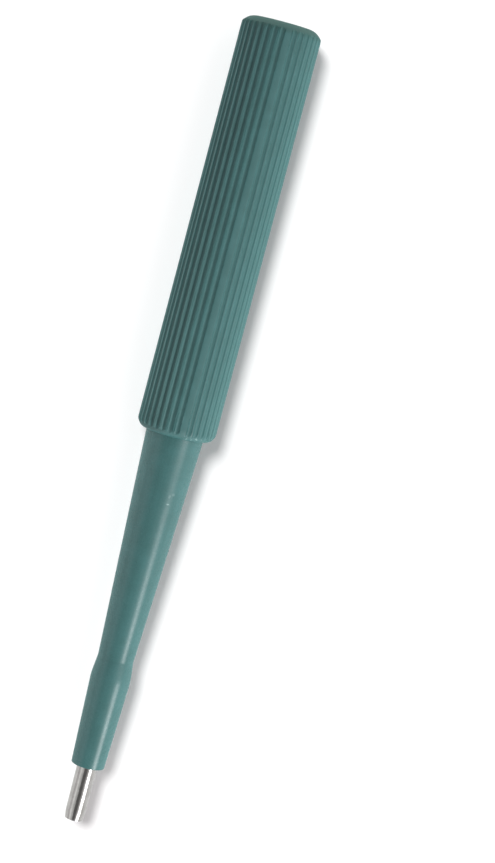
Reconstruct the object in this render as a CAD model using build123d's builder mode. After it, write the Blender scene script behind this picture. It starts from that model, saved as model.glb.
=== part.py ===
from build123d import *

import os

# Biopsy punch: a moulded plastic handle with a fluted grip, a tapering stem and a flared nose,
# and a thin steel cutting tube fixed in the nose. Sizes are in millimetres.
# The punch lies on its side on the plane Z = 0, on two ridges of its grip. Its tip points
# along +X, and the origin lies under the middle of its length.

# Lengths along the punch
grip_length = 64.3
stem_length = 36.3
flare_length = 3.1
nose_length = 14.4
bare_tube_length = 8.9
seat_depth = 12.0

# Grip: both its ends are chamfered, and blended into the side and into the end face
grip_diameter = 12.3
head_chamfer = 1.14
head_side_blend = 0.8
head_face_blend = 2.4
shoulder_chamfer_length = 1.06
shoulder_chamfer_width = 0.7
shoulder_side_blend = 1.1
shoulder_face_blend = 1.0

# Flutes: straight hollow channels of one depth, which run out in both chamfered ends. They form two
# evenly spaced series, one on each side of the punch. The plain land between the series, above and
# below, is where the two halves of the mould met. Its angle is from flute to flute across it.
flute_series = 2
flutes_per_series = 17
land_angle = 17.76
flute_radius = 0.42
flute_depth = 0.28
ridge_edge_radius = 0.08

# Stem and nose: a long taper, a crisp waist, a short flare and a tapering nose with its edge broken
stem_root_diameter = 8.97
waist_diameter = 5.64
flare_diameter = 6.3
flare_blend_radius = 8.0
nose_end_diameter = 5.24
nose_edge_chamfer = 0.1

# Cutting tube: thinner towards the tip, where a bevel brings the wall to a keen edge
tube_shank_diameter = 3.25
tube_neck_diameter = 3.1
tube_bore_diameter = 2.74
bevel_length = 1.2
edge_thickness = 0.03
seat_clearance = 0.01

# Radii
grip_radius = grip_diameter / 2
stem_root_radius = stem_root_diameter / 2
waist_radius = waist_diameter / 2
flare_radius = flare_diameter / 2
nose_end_radius = nose_end_diameter / 2
shank_radius = tube_shank_diameter / 2
neck_radius = tube_neck_diameter / 2
bore_radius = tube_bore_diameter / 2

# Stations: distances from the head end
waist_station = grip_length + stem_length
flare_station = waist_station + flare_length
nose_station = flare_station + nose_length
tip_station = nose_station + bare_tube_length
seat_station = nose_station - seat_depth
bevel_station = tip_station - bevel_length

# Section of the grip: a round bar with the flutes along it. Offsetting it in and out again rounds
# both edges of each ridge.
flute_centre_radius = grip_radius + flute_radius - flute_depth
series_angle = 360 / flute_series - land_angle
with BuildSketch() as grip_section:
    Circle(grip_radius)
    with PolarLocations(0, flute_series):
        with PolarLocations(flute_centre_radius, flutes_per_series, 0, series_angle, endpoint=True):
            Circle(flute_radius, mode=Mode.SUBTRACT)
    offset(amount=-ridge_edge_radius, kind=Kind.INTERSECTION)
    offset(amount=ridge_edge_radius, kind=Kind.ARC)

# The section's first flute, on its X axis, faces straight down. The grip rests on the rounded edges
# of the two ridges beside that flute.
axis_height = grip_section.sketch.bounding_box().max.X

# Working planes, both with their origin on the punch's axis at the head end. In the side plane X
# runs along the punch and Y is the radius. The end plane faces along the punch, with X downwards.
head_point = (-tip_station / 2, 0, axis_height)
side_plane = Plane(origin=head_point, x_dir=(1, 0, 0), z_dir=(0, -1, 0))
end_plane = Plane(origin=head_point, x_dir=(0, 0, -1), z_dir=(1, 0, 0))
punch_axis = Axis(head_point, (1, 0, 0))

# Handle: one moulding
with BuildPart() as handle:
    # Fluted bar
    with BuildSketch(end_plane):
        add(grip_section.sketch)
    extrude(amount=grip_length)

    # Ends of the grip: the bar keeps only what lies inside the grip's turned outline
    with BuildSketch(side_plane):
        with BuildLine():
            FilletPolyline(
                (0, 0),
                (0, grip_radius - head_chamfer),
                (head_chamfer, grip_radius),
                (grip_length - shoulder_chamfer_length, grip_radius),
                (grip_length, grip_radius - shoulder_chamfer_width),
                (grip_length, 0),
                radius=[head_face_blend, head_side_blend, shoulder_side_blend, shoulder_face_blend],
            )
            Line((grip_length, 0), (0, 0))
        make_face()
    revolve(axis=punch_axis, mode=Mode.INTERSECT)

    # Stem, waist, flare and nose
    with BuildSketch(side_plane):
        with BuildLine():
            Line((grip_length, stem_root_radius), (waist_station, waist_radius))
            FilletPolyline(
                (waist_station, waist_radius),
                (flare_station, flare_radius),
                (nose_station - nose_edge_chamfer, nose_end_radius),
                radius=flare_blend_radius,
            )
            Polyline(
                (nose_station - nose_edge_chamfer, nose_end_radius),
                (nose_station, nose_end_radius - nose_edge_chamfer),
                (nose_station, 0),
                (grip_length, 0),
                (grip_length, stem_root_radius),
            )
        make_face()
    revolve(axis=punch_axis)

    # Blind seat for the cutting tube
    with Locations(end_plane.offset(nose_station)):
        Hole(shank_radius + seat_clearance, depth=seat_depth)

# Cutting tube: its back end stands on the bottom of the seat
with BuildPart() as cutting_tube:
    with BuildSketch(side_plane):
        with BuildLine():
            Polyline(
                (seat_station, bore_radius),
                (seat_station, shank_radius),
                (nose_station, shank_radius),
                (bevel_station, neck_radius),
                (tip_station, bore_radius + edge_thickness),
                (tip_station, bore_radius),
                close=True,
            )
        make_face()
    revolve(axis=punch_axis)

os.makedirs("parts", exist_ok=True)

handle.part.label = "handle"
export_step(handle.part, "parts/handle.step")

cutting_tube.part.label = "cutting_tube"
export_step(cutting_tube.part, "parts/cutting_tube.step")
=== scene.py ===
from math import atan2, ceil, cos, hypot, pi, radians, sin, sqrt, tan

import bmesh
import bpy
from mathutils import Matrix, Vector


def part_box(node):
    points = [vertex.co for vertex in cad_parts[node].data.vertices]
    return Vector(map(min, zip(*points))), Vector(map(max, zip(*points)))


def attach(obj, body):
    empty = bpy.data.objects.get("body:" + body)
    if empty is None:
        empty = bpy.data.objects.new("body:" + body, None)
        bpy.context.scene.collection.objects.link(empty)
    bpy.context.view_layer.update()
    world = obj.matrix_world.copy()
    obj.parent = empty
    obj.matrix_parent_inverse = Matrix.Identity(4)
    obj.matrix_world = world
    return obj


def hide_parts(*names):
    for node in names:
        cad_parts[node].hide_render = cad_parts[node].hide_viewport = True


# A biopsy punch that lies on a pale floor: a moulded teal handle with a fluted grip, a tapering
# stem and a flared nose, and the steel cutting tube in the nose. Units are metres; sizes are
# written in millimetres times MM.

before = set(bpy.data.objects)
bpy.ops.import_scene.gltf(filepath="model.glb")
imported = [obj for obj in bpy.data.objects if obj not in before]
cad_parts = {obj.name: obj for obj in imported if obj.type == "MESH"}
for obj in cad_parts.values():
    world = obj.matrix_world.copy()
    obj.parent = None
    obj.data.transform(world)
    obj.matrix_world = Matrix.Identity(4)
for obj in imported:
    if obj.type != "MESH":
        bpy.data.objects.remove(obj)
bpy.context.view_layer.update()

MM = 0.001

# Places from the frame
handle_low, handle_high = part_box("handle")
tube_low, tube_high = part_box("cutting_tube")
head_x = handle_low.x
nose_x = handle_high.x
tip_x = tube_high.x
seat_x = tube_low.x
axis_z = (tube_low.z + tube_high.z) / 2

# Grip
grip_length = 64.3 * MM
grip_radius = 6.15 * MM
head_chamfer = 1.14 * MM
head_side_blend = 0.8 * MM
head_face_blend = 2.4 * MM
shoulder_chamfer_length = 1.06 * MM
shoulder_chamfer_width = 0.7 * MM
shoulder_side_blend = 1.1 * MM
shoulder_face_blend = 1.0 * MM
flutes_per_side = 17
flute_pitch = radians(10.14)
flute_radius = 0.42 * MM
flute_depth = 0.28 * MM
ridge_edge_radius = 0.08 * MM
run_out_edge = 0.05 * MM

# Stem and nose
stem_length = 36.3 * MM
flare_length = 3.1 * MM
stem_root_radius = 4.485 * MM
stem_root_blend = 0.08 * MM
shoulder_face_gap = 4 * stem_root_blend
waist_radius = 2.82 * MM
waist_blend = 0.4 * MM
flare_radius = 3.15 * MM
flare_blend = 8.0 * MM
nose_end_radius = 2.62 * MM
nose_edge_blend = 0.12 * MM
seat_clearance = 0.01 * MM

# Cutting tube
shank_radius = 1.625 * MM
neck_radius = 1.55 * MM
bore_radius = 1.37 * MM
bevel_length = 1.2 * MM
edge_thickness = 0.03 * MM
tube_edge_blend = 0.04 * MM
tube_lip_blend = edge_thickness / 3
bevel_blend = 0.5 * MM

# How finely the meshes are cut
arc_step = radians(9)
least_turn = radians(1)
ridge_top_cuts = 2
land_cuts = 8
ridge_edge_cuts = 3
flute_floor_cuts = 10
run_out_rows = 8
run_out_edge_rows = 3
straight_rows = 8
columns_per_stem_column = 4
long_rows = 6
tube_columns = 144
sharp_angle = radians(38)
long_stretch = 2 * flare_length

# Where the finely cut rings of the grip's ends begin and stop
head_face_radius = 0.6 * grip_radius
head_face_join = 0.58 * grip_radius
head_face_rings = (0.5 * grip_radius, 0.1 * grip_radius, 4)
end_outline_reach = 4
plain_rows_gap = 2.5 * run_out_edge
run_out_gap = 2 * run_out_edge

# Camera: it looks down on the punch, and its aim, a point of the axis, stands at aim_pixel in the picture
image_width = 495
image_height = 863
aim_pixel = (175.8, 430.9)
aim_x = 0.37 * MM
pixel_size = 0.1532 * MM
camera_distance = 2450 * pixel_size
camera_tilt = radians(6.9)
camera_roll = radians(15.0)
camera_swing = radians(3.1)
sensor_size = 36.0
nearest_seen = 0.01


def filleted(corners):
    """Points along a path of (station, radius, blend) corners, each blend cut into short chords."""
    points = [Vector(corners[0][:2])]
    for before, corner, after in zip(corners, corners[1:], corners[2:]):
        here = Vector(corner[:2])
        to_start = (Vector(before[:2]) - here).normalized()
        to_end = (Vector(after[:2]) - here).normalized()
        turn = pi - to_start.angle(to_end)
        blend = corner[2]
        if blend == 0 or turn < least_turn:
            points.append(here)
            continue
        reach = blend * tan(turn / 2)
        centre = here + (to_start + to_end).normalized() * (blend / cos(turn / 2))
        first = here + to_start * reach - centre
        side = 1 if to_start.cross(to_end) < 0 else -1
        cuts = max(2, ceil(turn / arc_step))
        for i in range(cuts + 1):
            angle = side * turn * i / cuts
            points.append(centre + Matrix.Rotation(angle, 2) @ first)
    points.append(Vector(corners[-1][:2]))
    return points


def divided(start, end, cuts):
    """Evenly spaced numbers from start to end, both included."""
    return [start + (end - start) * i / cuts for i in range(cuts + 1)]


class Path:
    """A path in the side plane that can be read by its length or by its radius."""

    def __init__(self, points):
        self.points = points
        self.lengths = [0.0]
        for a, b in zip(points, points[1:]):
            self.lengths.append(self.lengths[-1] + (b - a).length)

    def at(self, length):
        for i, end in enumerate(self.lengths[1:]):
            if length <= end:
                start = self.lengths[i]
                share = (length - start) / (end - start)
                return self.points[i].lerp(self.points[i + 1], share)
        return self.points[-1].copy()

    def length_to(self, radius):
        for i, (a, b) in enumerate(zip(self.points, self.points[1:])):
            if a.y < radius <= b.y:
                share = (radius - a.y) / (b.y - a.y)
                return self.lengths[i] + share * (self.lengths[i + 1] - self.lengths[i])
        return self.lengths[-1]


class Shell:
    """Collects rings of points round the punch's axis and the faces between them."""

    def __init__(self):
        self.points = []
        self.faces = []

    def add(self, station, radius, angle):
        self.points.append((head_x + station, radius * sin(angle), axis_z - radius * cos(angle)))
        return len(self.points) - 1

    def ring(self, station, radius, angles):
        return [self.add(station, radius, angle) for angle in angles]

    def join(self, a, b):
        for i in range(len(a)):
            j = (i + 1) % len(a)
            self.faces.append((a[i], a[j], b[j], b[i]))

    def thin_out(self, many, few):
        """Joins a ring to one with fewer points, by faces that take in several edges of the first."""
        step = len(many) // len(few)
        for i in range(len(few)):
            j = (i + 1) % len(few)
            edge = [many[(i * step + k) % len(many)] for k in range(step + 1)]
            self.faces.append((*edge, few[j], few[i]))

    def close(self, ring, station):
        middle = self.add(station, 0, 0)
        for i in range(len(ring)):
            self.faces.append((ring[i], ring[(i + 1) % len(ring)], middle))

    def revolve(self, path, angles, first=None):
        """Rings along a path. Returns the first and the last ring."""
        rings = [first] if first else []
        rings += [self.ring(point.x, point.y, angles) for point in path]
        for a, b in zip(rings, rings[1:]):
            self.join(a, b)
        return rings[0], rings[-1]

    def piece(self, name, material):
        mesh = bpy.data.meshes.new(name)
        mesh.from_pydata(self.points, [], self.faces)
        mesh.validate()
        made = bpy.data.objects.new(name, mesh)
        bpy.context.scene.collection.objects.link(made)
        outwards(mesh)
        mesh.shade_smooth()
        mesh.set_sharp_from_angle(angle=sharp_angle)
        mesh.materials.append(material)
        return made


def outwards(mesh):
    """Turns all faces to look out of the closed surface."""
    work = bmesh.new()
    work.from_mesh(mesh)
    bmesh.ops.recalc_face_normals(work, faces=work.faces)
    work.to_mesh(mesh)
    work.free()


def flute_section():
    """One flute from edge to edge, as (angle, radius) pairs in order of angle."""
    floor_centre = grip_radius + flute_radius - flute_depth
    reach = grip_radius - ridge_edge_radius
    spread = flute_radius + ridge_edge_radius
    edge_up = (reach**2 - spread**2 + floor_centre**2) / (2 * floor_centre)
    edge_side = sqrt(reach**2 - edge_up**2)
    edge_angle = atan2(edge_side, edge_up)
    floor_turn = atan2(edge_side, floor_centre - edge_up)

    half = []
    for turn in divided(0, floor_turn, flute_floor_cuts // 2):
        half.append((flute_radius * sin(turn), floor_centre - flute_radius * cos(turn)))
    start = floor_turn - pi
    for turn in divided(start, edge_angle, ridge_edge_cuts)[1:]:
        half.append((edge_side + ridge_edge_radius * sin(turn), edge_up + ridge_edge_radius * cos(turn)))
    right = [(atan2(x, y), hypot(x, y)) for x, y in half]
    left = [(-angle, radius) for angle, radius in right[:0:-1]]
    return left + right


def grip_section():
    """The whole section: two series of flutes, a ridge after each flute and a land after each series."""
    flute = flute_section()
    edge = flute[-1][0]
    section = []
    for side in range(2):
        for i in range(flutes_per_side):
            middle = side * pi + i * flute_pitch
            section += [(middle + angle, radius) for angle, radius in flute]
            last = i == flutes_per_side - 1
            after = (side + 1) * pi if last else middle + flute_pitch
            cuts = land_cuts if last else ridge_top_cuts
            section += [(angle, grip_radius) for angle in divided(middle + edge, after - edge, cuts)[1:-1]]
    return section


def run_out(path, radius, floor_radius):
    """Rows from just below the flute's floor up the path to a radius, and round onto the straight part."""
    start = path.length_to(floor_radius) - run_out_gap
    end = path.length_to(radius)
    rows = [path.at(length) for length in divided(start, end - run_out_edge, run_out_rows)]
    corner = path.at(end)
    onto = corner + Vector((run_out_edge, 0))
    before = rows[-1]
    for share in divided(0, 1, run_out_edge_rows)[1:]:
        rows.append(before.lerp(corner, share).lerp(corner.lerp(onto, share), share))
    return rows


def grip_end(face_radius, length, width, face_blend, side_blend):
    """The outline of one end of the grip, from its face out to its side."""
    corners = [
        (0, face_radius, 0),
        (0, grip_radius - width, face_blend),
        (length, grip_radius, side_blend),
        (end_outline_reach * length, grip_radius, 0),
    ]
    return Path(filleted(corners))


def add_grip(shell, section):
    """The fluted grip. Returns the ring on its head face and the ring on its shoulder face."""
    floor_radius = min(radius for _, radius in section)
    head = grip_end(head_face_radius, head_chamfer, head_chamfer, head_face_blend, head_side_blend)
    shoulder = grip_end(
        stem_root_radius + shoulder_face_gap,
        shoulder_chamfer_length,
        shoulder_chamfer_width,
        shoulder_face_blend,
        shoulder_side_blend,
    )

    def below(path):
        limit = path.length_to(floor_radius) - plain_rows_gap
        return [p for p, length in zip(path.points, path.lengths) if length < limit]

    head_rows = below(head)
    shoulder_rows = below(shoulder)
    columns = []
    for angle, radius in section:
        up = head_rows + run_out(head, radius, floor_radius)
        down = shoulder_rows + run_out(shoulder, radius, floor_radius)
        down = [Vector((grip_length - p.x, p.y)) for p in reversed(down)]
        middle = [up[-1].lerp(down[0], share) for share in divided(0, 1, straight_rows)[1:-1]]
        columns.append([shell.add(p.x, p.y, angle) for p in up + middle + down])
    rings = [list(ring) for ring in zip(*columns)]
    for a, b in zip(rings, rings[1:]):
        shell.join(a, b)
    return rings[0], rings[-1]


def long_run(start, end):
    """Points between two ends of a long straight stretch."""
    return [start.lerp(end, share) for share in divided(0, 1, long_rows)[1:-1]]


def stem_and_nose_path():
    """The outline from the stem's root to the bottom of the seat in the nose."""
    nose_station = nose_x - head_x
    seat_station = seat_x - head_x
    waist_station = grip_length + stem_length
    flare_station = waist_station + flare_length
    seat_radius = shank_radius + seat_clearance
    outline = filleted([
        (grip_length, stem_root_radius + 2 * stem_root_blend, 0),
        (grip_length, stem_root_radius, stem_root_blend),
        (waist_station, waist_radius, waist_blend),
        (flare_station, flare_radius, flare_blend),
        (nose_station, nose_end_radius, nose_edge_blend),
        (nose_station, seat_radius, 0),
        (seat_station, seat_radius, 0),
    ])
    path = [outline[0]]
    for a, b in zip(outline, outline[1:]):
        if (b - a).length > long_stretch:
            path += long_run(a, b)
        path.append(b)
    return path


def build_handle(material):
    """The whole moulding: head face, fluted grip, shoulder, stem, waist, flare, nose and the seat in it."""
    shell = Shell()
    section = grip_section()
    head_ring, shoulder_ring = add_grip(shell, section)
    few = [angle for angle, _ in section[::columns_per_stem_column]]

    face_ring = shell.ring(0, head_face_join, few)
    shell.thin_out(head_ring, face_ring)
    rows = [Vector((0, radius)) for radius in divided(*head_face_rings)]
    _, last = shell.revolve(rows, few, face_ring)
    shell.close(last, 0)

    path = stem_and_nose_path()
    first = shell.ring(path[0].x, path[0].y, few)
    shell.thin_out(shoulder_ring, first)
    _, last = shell.revolve(path[1:], few, first)
    shell.close(last, path[-1].x)
    made = shell.piece("moulded_handle", material)
    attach(made, "root")
    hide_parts("handle")
    return made


def build_tube(material):
    """The cutting tube, outside, bevel, bore and back end, as one closed surface."""
    shell = Shell()
    nose_station = nose_x - head_x
    seat_station = seat_x - head_x
    tip_station = tip_x - head_x
    outline = filleted([
        (seat_station, (bore_radius + shank_radius) / 2, 0),
        (seat_station, shank_radius, tube_edge_blend),
        (nose_station, shank_radius, bevel_blend),
        (tip_station - bevel_length, neck_radius, bevel_blend),
        (tip_station, bore_radius + edge_thickness, tube_lip_blend),
        (tip_station, bore_radius, tube_lip_blend),
        (seat_station, bore_radius, tube_edge_blend),
        (seat_station, (bore_radius + shank_radius) / 2, 0),
    ])
    angles = divided(0, 2 * pi, tube_columns)[:-1]
    first, last = shell.revolve(outline[:-1], angles)
    shell.join(last, first)
    made = shell.piece("bevelled_tube", material)
    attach(made, "root")
    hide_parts("cutting_tube")
    return made


# Materials


class Nodes:
    """Short calls for the shader nodes that the materials and the world need."""

    def __init__(self, tree):
        self.tree = tree

    def put(self, value, socket):
        if isinstance(value, bpy.types.NodeSocket):
            self.tree.links.new(value, socket)
        else:
            socket.default_value = value

    def node(self, kind, **settings):
        made = self.tree.nodes.new(kind)
        for key, value in settings.items():
            setattr(made, key, value)
        return made

    def math(self, operation, a, b=0.0):
        made = self.node("ShaderNodeMath", operation=operation)
        self.put(a, made.inputs[0])
        self.put(b, made.inputs[1])
        return made.outputs[0]

    def product(self, *values):
        total = values[0]
        for value in values[1:]:
            total = self.math("MULTIPLY", total, value)
        return total

    def ramp(self, value, low, high, start, end, smooth=True):
        """Maps low..high to start..end, held at both ends."""
        made = self.node("ShaderNodeMapRange", interpolation_type="SMOOTHSTEP" if smooth else "LINEAR")
        for socket, number in zip(made.inputs, (value, low, high, start, end)):
            self.put(number, socket)
        return made.outputs[0]

    def mix(self, share, a, b):
        made = self.node("ShaderNodeMix", data_type="RGBA")
        self.put(share, made.inputs[0])
        self.put(a, made.inputs[6])
        self.put(b, made.inputs[7])
        return made.outputs[2]

    def scaled(self, vector, scale, shift=(0, 0, 0)):
        made = self.node("ShaderNodeMapping")
        self.put(vector, made.inputs["Vector"])
        self.put(shift, made.inputs["Location"])
        self.put(scale, made.inputs["Scale"])
        return made.outputs[0]

    def noise(self, vector, scale, detail):
        made = self.node("ShaderNodeTexNoise")
        self.put(vector, made.inputs["Vector"])
        self.put(scale, made.inputs["Scale"])
        self.put(detail, made.inputs["Detail"])
        return made.outputs["Fac"]

    def bump(self, height, strength, distance):
        made = self.node("ShaderNodeBump")
        self.put(height, made.inputs["Height"])
        self.put(strength, made.inputs["Strength"])
        self.put(distance, made.inputs["Distance"])
        return made.outputs[0]


def new_material(name):
    material = bpy.data.materials.new(name)
    material.use_nodes = True
    nodes = Nodes(material.node_tree)
    shader = material.node_tree.nodes["Principled BSDF"]
    position = nodes.node("ShaderNodeTexCoord").outputs["Object"]
    return material, nodes, shader, position


# Colours
teal_light = (0.075, 0.207, 0.205, 1)
teal_dark = (0.067, 0.184, 0.180, 1)
# Painted shade for the floors of the left flutes
flute_shade = (0.022, 0.075, 0.075, 1)
# Painted light for the walls of the right flutes
flute_painted_light = (0.12, 0.31, 0.305, 1)
# Painted light: a paler teal for the grip's left side towards the shoulder
painted_gradient_teal = (0.125, 0.305, 0.295, 1)
head_shade = (0.05, 0.155, 0.13, 1)
# Pale teal for the worn spots on the stem and for the painted glints on the lip
wear_and_glint_plastic = (0.30, 0.48, 0.47, 1)
steel_light = (0.42, 0.42, 0.405, 1)
steel_dark = (0.36, 0.36, 0.345, 1)
floor_dark = (0.87, 0.87, 0.87, 1)
floor_light = (0.89, 0.89, 0.89, 1)

# Painted shade and painted light on the grip, and its darker head band: how strong each is, and the two
# places between which it fades
shade_strength = 0.65
shade_depths = (grip_radius - flute_depth, grip_radius - 0.35 * flute_depth)
shade_sides = (-0.6 * grip_radius, 0)
# Painted light on the walls of the right flutes
painted_light_strength = 0.75
painted_light_leans = (-0.6, -0.1)
painted_light_sides = (0, 0.25 * grip_radius)
# Painted light on the left of the grip, towards the shoulder
painted_gradient_strength = 0.5
painted_gradient_lengths = (head_x + 0.2 * grip_length, head_x + grip_length)
painted_gradient_sides = (-0.5 * grip_radius, 0)
head_shade_strength = 0.85
head_shade_lengths = (head_x + 0.4 * MM, head_x + 1.8 * MM)

# Plastic: where the grip's finish gives way to the stem's, and the two finishes
finish_edge = (head_x + grip_length - 0.4 * MM, head_x + grip_length + 0.1 * MM)
stem_roughness = 0.27
grip_roughness = 0.42
roughness_spread = 0.03
stem_grain = 0.06
grip_grain = 0.2
grain_depth = 0.02 * MM
plastic_ior = 1.49
gloss_facings = (0.12, 0.8)
gloss_levels = (0.45, 0.03)
mottle_scale = 420
mottle_share = 0.6
streak_scale = (90, 900, 900)
tone_range = (0.36, 0.64)
grain_scale = 7000
satin_scale = 1500

# Wear on the stem: station, angle from the top, half length, half width and strength of each mark
wear_marks = (
    (74.65 * MM, radians(23), 0.13 * MM, 0.36 * MM, 0.9),
    (73.05 * MM, radians(30), 0.3 * MM, 0.28 * MM, 0.3),
    (73.4 * MM, radians(22.5), 0.35 * MM, 0.25 * MM, 0.3),
    (86.8 * MM, radians(-56), 0.12 * MM, 0.12 * MM, 0.4),
)
wear_rims = (0.9, 1.5)
wear_break_scale = 4000
wear_break = 0.9

# Painted glints on the shoulder's lip
glint_line = head_x + grip_length - 0.5 * MM
glint_reaches = (0.25 * MM, 0.45 * MM)
glint_sides = (0.1 * grip_radius, 0.3 * grip_radius)
glint_scale = 2600
glint_levels = (0.6, 0.68)
glint_strength = 0.7

# Steel
brushing_scale = (60, 9000, 9000)
brushing_strength = 0.15
brushing_depth = 0.01 * MM
steel_roughness = (0.15, 0.22)
smear_scale = 900
noise_middle = (0.35, 0.65)

# Floor
floor_half = 2.0
floor_roughness = 0.9
floor_scale = 12


def flute_painted_shade_and_light(nodes, colour, place, on_grip):
    """The flutes: painted shade on the left floors, and on the right painted light on the walls
    that face back over the top."""
    side = place.outputs["Y"]
    height = nodes.math("SUBTRACT", place.outputs["Z"], axis_z)
    squares = nodes.math("ADD", nodes.product(height, height), nodes.product(side, side))
    reach = nodes.math("SQRT", squares)
    # Painted shade: the floors of the left flutes are darkened.
    low = nodes.ramp(reach, *shade_depths, 1, 0)
    shade = nodes.product(low, on_grip, nodes.ramp(side, *shade_sides, shade_strength, 0))

    # Painted light: on the right, the flute walls that lean back over the top are lightened.
    facing = nodes.node("ShaderNodeSeparateXYZ")
    nodes.put(nodes.node("ShaderNodeNewGeometry").outputs["Normal"], facing.inputs[0])
    lean = nodes.math("SUBTRACT", nodes.product(facing.outputs["Y"], height),
                      nodes.product(facing.outputs["Z"], side))
    back = nodes.ramp(nodes.math("DIVIDE", lean, reach), *painted_light_leans, 1, 0)
    painted_light_share = nodes.product(back, on_grip, nodes.ramp(side, *painted_light_sides, 0, painted_light_strength))
    return nodes.mix(painted_light_share, nodes.mix(shade, colour, flute_shade), flute_painted_light)


def painted_gradient(nodes, place, on_grip):
    """Painted light: how much the grip is lightened, more towards the shoulder, on the left."""
    towards_shoulder = nodes.ramp(place.outputs["X"], *painted_gradient_lengths, 0, painted_gradient_strength)
    on_left = nodes.ramp(place.outputs["Y"], *painted_gradient_sides, 1, 0)
    return nodes.product(towards_shoulder, on_left, on_grip)


def wear(nodes, position):
    """How much a point of the stem is scuffed."""
    broken = nodes.product(nodes.noise(position, wear_break_scale, 2), wear_break)
    total = 0.0
    for station, angle, half_length, half_width, strength in wear_marks:
        share = (station - grip_length) / stem_length
        radius = stem_root_radius + (waist_radius - stem_root_radius) * share
        centre = (head_x + station, radius * sin(angle), axis_z + radius * cos(angle))
        scale = (1 / half_length, 1 / half_width, 1 / half_width)
        shift = [-size * middle for size, middle in zip(scale, centre)]
        length = nodes.node("ShaderNodeVectorMath", operation="LENGTH")
        nodes.put(nodes.scaled(position, scale, shift), length.inputs[0])
        distance = nodes.math("ADD", length.outputs["Value"], broken)
        total = nodes.math("MAXIMUM", total, nodes.ramp(distance, *wear_rims, strength, 0))
    return total


def lip_painted_glints(nodes, position, place):
    """Painted glints: small pale spots on the shoulder's lip, on its right half."""
    off = nodes.math("ABSOLUTE", nodes.math("SUBTRACT", place.outputs["X"], glint_line))
    near = nodes.ramp(off, *glint_reaches, 1, 0)
    right = nodes.ramp(place.outputs["Y"], *glint_sides, 0, 1)
    glint_spots = nodes.ramp(nodes.noise(position, glint_scale, 1), *glint_levels, 0, 1)
    return nodes.product(near, right, glint_spots, glint_strength)


def plastic_colour(nodes, position, place, on_grip):
    """Teal with a faint mottle, the grip's painted shade and painted light, its darker head band,
    the worn spots and the painted glints.
    """
    mottle = nodes.noise(position, mottle_scale, 4)
    streaks = nodes.noise(nodes.scaled(position, streak_scale), 1, 3)
    tone = nodes.math("ADD", nodes.product(mottle, mottle_share), nodes.product(streaks, 1 - mottle_share))
    colour = nodes.mix(nodes.ramp(tone, *tone_range, 0, 1), teal_dark, teal_light)
    # Painted light: lighter towards the shoulder on the left of the grip
    colour = nodes.mix(painted_gradient(nodes, place, on_grip), colour, painted_gradient_teal)
    colour = flute_painted_shade_and_light(nodes, colour, place, on_grip)
    near_head = nodes.ramp(place.outputs["X"], *head_shade_lengths, head_shade_strength, 0)
    colour = nodes.mix(near_head, colour, head_shade)
    # Worn spots on the stem, and painted glints on the shoulder's lip
    scuffs_and_glints = nodes.math("MAXIMUM", wear(nodes, position), lip_painted_glints(nodes, position, place))
    return nodes.mix(scuffs_and_glints, colour, wear_and_glint_plastic)


def plastic():
    """Satin moulded plastic, with less gloss on the grip than on the stem and nose."""
    material, nodes, shader, position = new_material("teal_plastic")
    place = nodes.node("ShaderNodeSeparateXYZ")
    nodes.put(position, place.inputs[0])
    on_grip = nodes.ramp(place.outputs["X"], *finish_edge, 1, 0)
    nodes.put(plastic_colour(nodes, position, place, on_grip), shader.inputs["Base Color"])

    satin = nodes.ramp(nodes.noise(position, satin_scale, 3), 0.3, 0.7, -roughness_spread, roughness_spread)
    rough = nodes.ramp(on_grip, 0, 1, stem_roughness, grip_roughness, smooth=False)
    nodes.put(nodes.math("ADD", rough, satin), shader.inputs["Roughness"])
    strength = nodes.ramp(on_grip, 0, 1, stem_grain, grip_grain, smooth=False)
    grain = nodes.noise(position, grain_scale, 2)
    nodes.put(nodes.bump(grain, strength, grain_depth), shader.inputs["Normal"])
    shader.inputs["IOR"].default_value = plastic_ior
    facing = nodes.node("ShaderNodeLayerWeight")
    facing.inputs["Blend"].default_value = 0.5
    gloss = nodes.ramp(facing.outputs["Facing"], *gloss_facings, *gloss_levels)
    nodes.put(gloss, shader.inputs["Specular IOR Level"])
    return material


def steel():
    """Drawn stainless tube: polished, with faint lines along its length."""
    material, nodes, shader, position = new_material("polished_steel")
    lines = nodes.noise(nodes.scaled(position, brushing_scale), 1, 3)
    smears = nodes.ramp(nodes.noise(position, smear_scale, 3), *noise_middle, 0, 1)
    nodes.put(nodes.mix(smears, steel_light, steel_dark), shader.inputs["Base Color"])
    nodes.put(nodes.ramp(lines, *noise_middle, *steel_roughness), shader.inputs["Roughness"])
    nodes.put(nodes.bump(lines, brushing_strength, brushing_depth), shader.inputs["Normal"])
    shader.inputs["Metallic"].default_value = 1.0
    return material


def floor_material():
    """A white table top."""
    material, nodes, shader, position = new_material("white_floor")
    shade = nodes.noise(position, floor_scale, 2)
    nodes.put(nodes.mix(shade, floor_dark, floor_light), shader.inputs["Base Color"])
    shader.inputs["Roughness"].default_value = floor_roughness
    shader.inputs["Specular IOR Level"].default_value = 0.0
    return material


def build_floor():
    low, high = -floor_half, floor_half
    corners = [(low, low, 0), (high, low, 0), (high, high, 0), (low, high, 0)]
    mesh = bpy.data.meshes.new("floor")
    mesh.from_pydata(corners, [], [(0, 1, 2, 3)])
    mesh.materials.append(floor_material())
    floor = bpy.data.objects.new("floor", mesh)
    bpy.context.scene.collection.objects.link(floor)
    return floor


# Light: the two edges of the dark gap overhead, how bright the studio is on each side of it, and its
# end walls
gap_left_edge = (radians(-60), radians(-30))
gap_right_edge = (radians(11), radians(31))
left_level = 0.72
right_level = 0.78
overhead_level = 0.2
studio_colour = (1, 0.965, 0.975, 1)
end_wall_edge = (0.86, 0.94)
end_wall_level = 0.95

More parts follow.
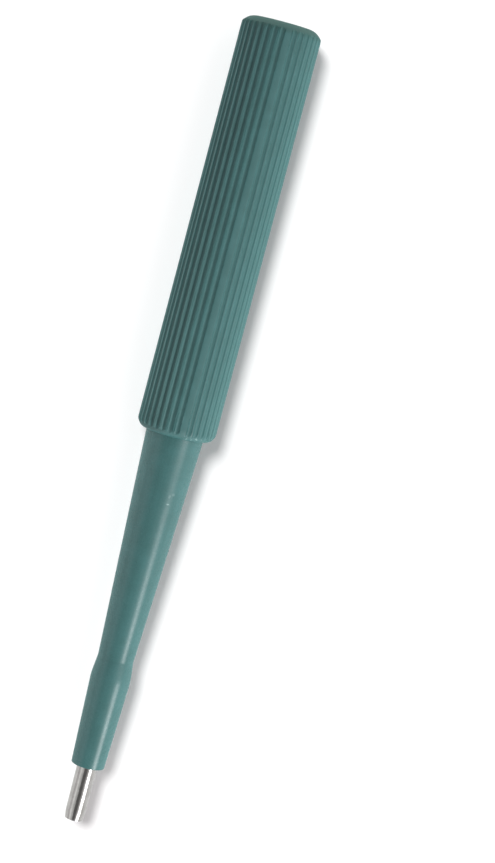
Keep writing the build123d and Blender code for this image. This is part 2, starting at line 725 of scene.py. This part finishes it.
# Light: the softbox
panel_distance = 300 * MM
softbox_radiance = 9.0
softbox_sideways = radians(50.4)
softbox_forward = radians(27)
softbox_width = 104 * MM
softbox_length = 186 * MM
softbox_aim_x = 48 * MM

# Light: the card that the tube reflects
card_radiance = 0.7
card_sideways = radians(-41)
card_width = 206 * MM
card_length = 286 * MM

# Light: the lamp that lights only the table
table_light_strength = 0.88 * pi
table_light_angle = radians(17)
table_light_from = Vector((-0.38, -0.30, 1))


def build_world():
    """A grey studio on both sides, with a dark gap overhead where the camera stands. The gap ends above
    the studio's two end walls."""
    world = bpy.data.worlds.new("studio")
    world.use_nodes = True
    nodes = Nodes(world.node_tree)
    background = world.node_tree.nodes["Background"]
    direction = nodes.node("ShaderNodeSeparateXYZ")
    nodes.put(nodes.node("ShaderNodeTexCoord").outputs["Generated"], direction.inputs[0])
    sideways = nodes.math("ARCTAN2", direction.outputs["Y"], direction.outputs["Z"])
    on_left = nodes.ramp(sideways, *gap_left_edge, left_level, 0)
    on_right = nodes.ramp(sideways, *gap_right_edge, 0, right_level)
    level = nodes.math("ADD", nodes.math("ADD", on_left, on_right), overhead_level)
    end_wall = nodes.ramp(nodes.math("ABSOLUTE", direction.outputs["X"]), *end_wall_edge, 0, 1)
    open_part = nodes.product(level, nodes.math("SUBTRACT", 1.0, end_wall))
    level = nodes.math("ADD", open_part, nodes.product(end_wall, end_wall_level))
    nodes.put(level, background.inputs["Strength"])
    background.inputs["Color"].default_value = studio_colour
    bpy.context.scene.world = world


def lit_only(lamp, name, objects):
    """Makes a lamp light only these objects."""
    group = bpy.data.collections.new(name)
    for thing in objects:
        group.objects.link(thing)
    lamp.light_linking.receiver_collection = group


def build_panel(name, radiance, sideways, forward, size, aim_x, objects):
    """A rectangular lamp that looks at a point of the punch's axis and lights only these objects."""
    length, width = size
    data = bpy.data.lights.new(name, "AREA")
    data.shape = "RECTANGLE"
    data.size = length
    data.size_y = width
    data.energy = radiance * pi * width * length
    lamp = bpy.data.objects.new(name, data)
    bpy.context.scene.collection.objects.link(lamp)
    across = Vector((0, sin(sideways), cos(sideways)))
    back = across * cos(forward) + Vector((sin(forward), 0, 0))
    right = (Vector((1, 0, 0)) - back * back.x).normalized()
    turn = Matrix((right, back.cross(right), back)).transposed().to_4x4()
    aim = Vector((aim_x, 0, axis_z))
    lamp.matrix_world = Matrix.Translation(aim + back * panel_distance) @ turn
    lit_only(lamp, "lit_by_" + name, objects)


def build_softbox(objects):
    """The main light, to the picture's right and past the tip."""
    size = (softbox_length, softbox_width)
    build_panel("softbox", softbox_radiance, softbox_sideways, softbox_forward, size, softbox_aim_x,
                objects)


def build_tube_card(tube):
    """A pale card on the left, which narrows the dark line that the steel tube reflects."""
    size = (card_length, card_width)
    build_panel("tube_card", card_radiance, card_sideways, softbox_forward, size, tip_x, [tube])


def build_floor_lamp(floor):
    """The light on the table: nearly overhead, so that the punch's shadow falls close to its right."""
    data = bpy.data.lights.new("table_light", "SUN")
    data.energy = table_light_strength
    data.angle = table_light_angle
    lamp = bpy.data.objects.new("table_light", data)
    bpy.context.scene.collection.objects.link(lamp)
    lamp.rotation_mode = "QUATERNION"
    lamp.rotation_quaternion = table_light_from.to_track_quat("Z", "Y")
    lit_only(lamp, "lit_by_table_light", [floor])


def build_camera():
    swing = Matrix.Rotation(camera_swing, 3, "X")
    tip_way = swing @ Vector((cos(camera_tilt), 0, sin(camera_tilt)))
    view = swing @ Vector((sin(camera_tilt), 0, -cos(camera_tilt)))
    side = swing @ Vector((0, 1, 0))
    right = side * cos(camera_roll) - tip_way * sin(camera_roll)
    down = side * sin(camera_roll) + tip_way * cos(camera_roll)
    aim = Vector((aim_x, 0, axis_z))
    off_right = (image_width / 2 - aim_pixel[0]) * pixel_size
    off_down = (image_height / 2 - aim_pixel[1]) * pixel_size
    place = aim - view * camera_distance + right * off_right + down * off_down
    data = bpy.data.cameras.new("camera")
    data.sensor_width = sensor_size
    data.lens = sensor_size * camera_distance / (image_height * pixel_size)
    data.clip_start = nearest_seen
    camera = bpy.data.objects.new("camera", data)
    camera.matrix_world = Matrix.Translation(place) @ Matrix((right, -down, -view)).transposed().to_4x4()
    bpy.context.scene.collection.objects.link(camera)
    bpy.context.scene.camera = camera


handle = build_handle(plastic())
tube = build_tube(steel())
floor = build_floor()
build_world()
build_softbox([handle, tube])
build_tube_card(tube)
build_floor_lamp(floor)
build_camera()
bpy.context.scene.view_settings.view_transform = "Standard"
